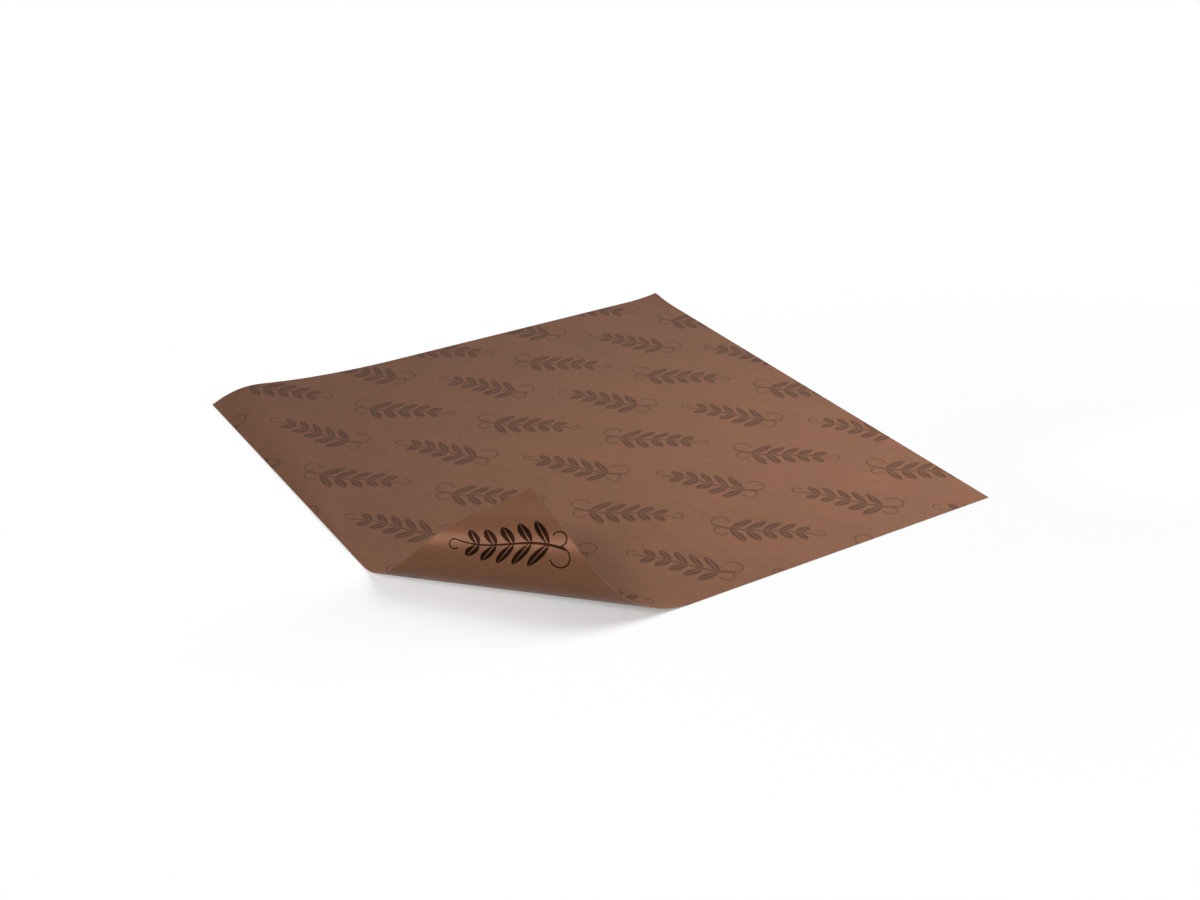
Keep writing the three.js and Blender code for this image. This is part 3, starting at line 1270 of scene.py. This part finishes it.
@dataclass
class DehydratorSheet:
    """The whole sheet: a flat panel and three bent corners, dressed and hung on the CAD bodies."""

    stock: SheetStock
    yarn_ends: YarnEnds = field(default_factory=YarnEnds)
    weave: GlassWeave = field(default_factory=GlassWeave)
    sprigs: SprigPrint = field(default_factory=SprigPrint)
    unevenness: CoatUnevenness = field(default_factory=CoatUnevenness)
    grid_step: float = 12 * MM
    upper_coat: CoatFinish = CoatFinish(
        name="upper_coat",
        colour=(132, 97, 75),
        patch_colour=(142, 95, 73),
        gap_colour=(119, 80, 61),
        ink_colour=(72, 48, 38),
        ink_cover=0.68,
        ink_softness=0.55 * MM,
        roughness=0.46,
        refraction=1.15,
        sheen=0.0,
        ink_sheen=0.0,
    )
    lower_coat: CoatFinish = CoatFinish(
        name="lower_coat",
        colour=(123, 83, 58),
        patch_colour=(129, 81, 55),
        gap_colour=(105, 66, 45),
        ink_colour=(20, 9, 5),
        ink_cover=0.97,
        ink_softness=0.12 * MM,
        roughness=0.42,
        refraction=1.30,
        sheen=0.22,
        ink_sheen=1.0,
    )
    cut_edge: GlassFinish = field(default_factory=GlassFinish)

    def __post_init__(self) -> None:
        """Works out the bent corners and the finishes."""
        names = (CornerName.FRONT, CornerName.BACK, CornerName.LEFT)
        self.corners = {name: BentCorner(name, self.stock) for name in names}
        weave = self.weave.build()
        sprigs = self.sprigs.build()
        uneven = self.unevenness.build()
        self.yarn_tree = self.yarn_ends.build_tree()
        self.glass = self.cut_edge.make(weave)
        coats = [coat.make(weave, sprigs, uneven) for coat in (self.upper_coat, self.lower_coat)]
        self.finishes = [*coats, self.glass]
        self.lengths: list[Piece] = []
        self.panel_area = 0.0

    def panel_length(self) -> SheetLength:
        """Cuts the flat panel between the bent corners.

        Returns:
            The panel, on a grid, with the cut edges that it keeps.
        """
        outline, cut_edges, edge = [], [], []
        for name in CornerName:
            corner = self.corners.get(name)
            if corner is None:
                outline.append(self.stock.corner(name))
                edge.append(self.stock.corner(name))
                continue
            border = corner.border
            shares = np.linspace(1, 0, corner.rule_steps + 1)
            outline += [between(border.start, border.end, share) for share in shares]
            cut_edges.append(edge + [border.end])
            edge = [border.start]
        cut_edges[0] = edge + cut_edges[0]
        work = bmesh.new()
        work.faces.new([work.verts.new((x, y, 0.0)) for x, y in outline])
        steps = int(self.stock.side / 2 / self.grid_step)
        for axis in ((1, 0, 0), (0, 1, 0)):
            for step in range(-steps, steps + 1):
                bmesh.ops.bisect_plane(
                    work,
                    geom=work.verts[:] + work.edges[:] + work.faces[:],
                    dist=WELD,
                    plane_co=np.array(axis) * step * self.grid_step,
                    plane_no=axis,
                )
        work.verts.index_update()
        flat = np.array([v.co[:2] for v in work.verts])
        faces = [tuple(v.index for v in f.verts) for f in work.faces]
        work.free()
        middle = np.column_stack([flat, np.full(len(flat), self.stock.thickness / 2)])
        normal = np.tile([0.0, 0.0, 1.0], (len(flat), 1))
        return SheetLength(flat, middle, normal, faces, [np.array(e) for e in cut_edges])

    @staticmethod
    def _show(name: str, mesh: Mesh, slot: str) -> Piece:
        """Puts a mesh in the scene as a piece, and reports it.

        Args:
            name: The piece's name.
            mesh: Its mesh.
            slot: Its finish slot.

        Returns:
            The piece.
        """
        piece = put_in_scene(name, mesh)
        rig.slot(piece, slot)
        LOG.info("%s: %d faces", name, len(mesh.polygons))
        return piece

    def _dressed(self, name: str, length: SheetLength) -> Piece:
        """Makes a length of the sheet and gives it its three finishes.

        Args:
            name: The piece's name.
            length: The length of the sheet.

        Returns:
            The piece.
        """
        mesh = length.make_mesh(name, self.stock.thickness)
        for finish in self.finishes:
            mesh.materials.append(finish)
        return self._show(name, mesh, COAT_SLOT)

    def _yarns(self, name: str, length: SheetLength, corner: BentCorner | None) -> Piece:
        """Makes the yarn ends of a length's cut edges and bends them with it.

        Args:
            name: The piece's name.
            length: The length of the sheet.
            corner: The corner it belongs to, or None for the panel.

        Returns:
            The piece.
        """
        mesh = self.yarn_ends.make_flat(name, length.cut_edges, self.yarn_tree, self.glass)
        flat = np.empty(len(mesh.vertices) * 3, np.float32)
        mesh.vertices.foreach_get("co", flat)
        place = mesh.attributes.new(FLAT_PLACE, "FLOAT_VECTOR", "POINT")
        place.data.foreach_set("vector", flat)
        flat = flat.reshape(-1, 3).astype(float)
        bent = corner.lift(flat) if corner else flat + [0, 0, self.stock.thickness / 2]
        mesh.vertices.foreach_set("co", bent.astype(np.float32).ravel())
        mesh.update()
        return self._show(name, mesh, CLOTH_SLOT)

    def build_panel(self) -> Piece:
        """Builds the flat panel, which stands for the main panel's three layers.

        Returns:
            The panel piece.
        """
        length = self.panel_length()
        panel = self._dressed("main_panel_sheet", length)
        yarns = self._yarns("main_panel_yarn_ends", length, None)
        for piece in (panel, yarns):
            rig.ride(piece, "main_panel")
        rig.replaces(panel, *frame["record"]["behaviour"]["bodies"]["main_panel"])
        self.panel_area = length.flat_area()
        return panel

    def build_corner(self, corner: BentCorner) -> None:
        """Builds a bent corner, one length for each CAD strip.

        Args:
            corner: The corner to build.
        """
        for strip, bend in enumerate(corner.bends, start=1):
            body = corner.body(strip)
            length = corner.length_of(strip)
            sheet = self._dressed(f"{body}_sheet", length)
            yarns = self._yarns(f"{body}_yarn_ends", length, corner)
            start, end = bend.span(corner.seam)
            for piece in (sheet, yarns):
                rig.blend(piece, corner.body(strip - 1), body, start=tuple(start), end=tuple(end))
            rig.replaces(sheet, *frame["record"]["behaviour"]["bodies"][body])
            self.lengths += [sheet, yarns]

    def declare(self, panel: Piece) -> None:
        """Args:
            panel: The panel piece.
        """
        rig.sheet(
            panel,
            flat=(self.stock.side, self.stock.side),
            held="laid",
            area=self.panel_area,
            rests_on=["floor"],
            with_pieces=self.lengths,
        )


@dataclass(frozen=True)
class SoftBox:
    """A soft studio lamp."""

    name: str
    place: Place
    aim: Place
    size: tuple[float, float]
    power: float

    @property
    def facing(self) -> Vector:
        """Gives the direction from the lamp to its aim."""
        return (Vector(self.aim) - Vector(self.place)).normalized()

    @property
    def turn(self) -> Quaternion:
        """Gives the turn that points the lamp at its aim."""
        return self.facing.to_track_quat("-Z", "Y")

    def build(self) -> None:
        """Sets the lamp up, turned to its aim and out of the camera's sight."""
        lamp = bpy.data.lights.new(self.name, "AREA")
        lamp.shape = "RECTANGLE"
        lamp.size, lamp.size_y = self.size
        lamp.energy = self.power
        stand = put_in_scene(self.name, lamp)
        stand.location = self.place
        stand.rotation_mode = "QUATERNION"
        stand.rotation_quaternion = self.turn
        stand.visible_camera = False

    def floor_light(self, bench: NodeBench, place: Wire) -> Wire:
        """Works out how brightly the lamp lights a white floor, as four lamps in its quarters would.

        Args:
            bench: A bench on the floor's material.
            place: The place on the floor.

        Returns:
            The brightness, where 1 is white.
        """
        shares = []
        for x, y in SQUARE:
            offset = Vector((x * self.size[0] / 4, y * self.size[1] / 4, 0.0))
            quarter = Vector(self.place) + self.turn @ offset
            off = bench.vector("SUBTRACT", place, tuple(quarter))
            square = bench.vector("DOT_PRODUCT", off, off)
            ahead = bench.math("MAXIMUM", bench.vector("DOT_PRODUCT", off, tuple(self.facing)), 0.0)
            strength = self.power / len(SQUARE) * quarter.z / math.pi**2
            shares.append(ahead * strength / (square * square))
        return reduce(operator.add, shares)


@dataclass
class Studio:
    """The pale floor, the soft light and the camera."""

    floor_span: float = 12.0
    floor_drop: float = 0.25 * MM
    floor_colour: Colour = (236, 236, 236)
    fill_strength: float = 0.10
    lens_mm: float = 50.517
    sensor_mm: float = 36.0
    clip: tuple[float, float] = (0.05, 50.0)
    camera_distance: float = 1.06284
    camera_azimuth_deg: float = -33.34
    camera_elevation_deg: float = 28.644
    camera_roll_deg: float = 1.076
    camera_aim: Place = (8.835 * MM, -6.175 * MM, 0.0)
    lamps: tuple[SoftBox, ...] = (
        SoftBox("overhead", (0.18, -0.16, 0.42), (0.18, -0.16, 0.0), (0.3, 0.3), 1.2),
        SoftBox("left", (-1.58, -0.615, 1.32), (-0.09, -0.12, 0.04), (0.7, 0.7), 16.8),
        SoftBox("right", (0.60, -0.30, 0.35), (0.0, -0.05, 0.0), (0.3, 0.3), 1.5),
    )

    def build(self) -> None:
        """Builds floor, backdrop, lamps and camera."""
        self._floor()
        self._backdrop()
        for lamp in self.lamps:
            lamp.build()
        self._camera()
        bpy.context.scene.view_settings.view_transform = "Standard"

    def _floor(self) -> None:
        """Lays a pale floor that shows the sheet's shadow from above and nothing from below.

        The lamps stand close, so the camera also sees a glow that makes up for the light's falling off.
        """
        half = self.floor_span / 2
        mesh = bpy.data.meshes.new("floor")
        mesh.from_pydata([(x * half, y * half, -self.floor_drop) for x, y in SQUARE], [], [(0, 1, 2, 3)])
        floor = put_in_scene("floor", mesh)
        material, bench = new_material("pale_floor")
        colour = linear(self.floor_colour)
        whiteness = colour[0]
        place = bench.add("ShaderNodeTexCoord")["Object"]
        missing = 1.0 - whiteness * self.fill_strength
        for lamp in self.lamps:
            light = lamp.floor_light(bench, place)
            missing = bench.math("SUBTRACT", missing, light * whiteness, clamp=True)
        paint = bench.add("ShaderNodeBsdfDiffuse", {"Color": colour})[0]
        glow = bench.add("ShaderNodeEmission", {"Strength": bench.seen() * missing})[0]
        lit = bench.add("ShaderNodeAddShader", {0: paint, 1: glow})[0]
        clear = bench.add("ShaderNodeBsdfTransparent")[0]
        below = bench.add("ShaderNodeNewGeometry")["Backfacing"]
        shown = bench.add("ShaderNodeMixShader", {0: below, 1: lit, 2: clear})[0]
        bench.add("ShaderNodeOutputMaterial", {"Surface": shown})
        mesh.materials.append(material)
        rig.stage(floor)

    def _backdrop(self) -> None:
        """Makes the world white to the camera and a soft fill to the sheet."""
        world = bpy.data.worlds.new("studio")
        bpy.context.scene.world = world
        bench = NodeBench.cleared(world)
        strength = bench.seen() * (1.0 - self.fill_strength) + self.fill_strength
        white = {"Color": (1.0, 1.0, 1.0, 1.0), "Strength": strength}
        sky = bench.add("ShaderNodeBackground", white)[0]
        bench.add("ShaderNodeOutputWorld", {"Surface": sky})

    def _camera(self) -> None:
        """Sets the camera where the sheet's four corners fall as in the photograph."""
        angles = (self.camera_azimuth_deg, self.camera_elevation_deg, self.camera_roll_deg)
        azimuth, elevation, roll = (math.radians(angle) for angle in angles)
        level = Vector((math.cos(azimuth), math.sin(azimuth), 0.0))
        nearer = Vector((math.sin(azimuth), -math.cos(azimuth), 0.0))
        back = nearer * math.cos(elevation) + Vector((0.0, 0.0, math.sin(elevation)))
        rise = back.cross(level)
        right = level * math.cos(roll) + rise * math.sin(roll)
        up = rise * math.cos(roll) - level * math.sin(roll)
        lens = bpy.data.cameras.new("camera")
        lens.lens = self.lens_mm
        lens.sensor_width = self.sensor_mm
        lens.sensor_fit = "HORIZONTAL"
        lens.clip_start, lens.clip_end = self.clip
        camera = put_in_scene("camera", lens)
        turned = Matrix((right, up, back)).transposed().to_4x4()
        turned.translation = Vector(self.camera_aim) + back * self.camera_distance
        camera.matrix_world = turned
        bpy.context.scene.camera = camera


def write_sizes() -> None:
    boxes = {"cad": CAD_BOX, "visual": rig.bounds()}
    with open(SIZE_FILE, "w") as out:
        json.dump({name: [list(corner) for corner in box] for name, box in boxes.items()}, out, indent=1)


def main() -> None:
    """Builds the studio and the sheet, in order."""
    logging.basicConfig(level=logging.INFO, format="%(name)s %(message)s")
    Studio().build()
    LOG.info("studio: floor, lamps and camera")
    sheet = DehydratorSheet(SheetStock.from_frame())
    panel = sheet.build_panel()
    for corner in sheet.corners.values():
        sheet.build_corner(corner)
    sheet.declare(panel)
    write_sizes()


if __name__ == "__main__":
    main()
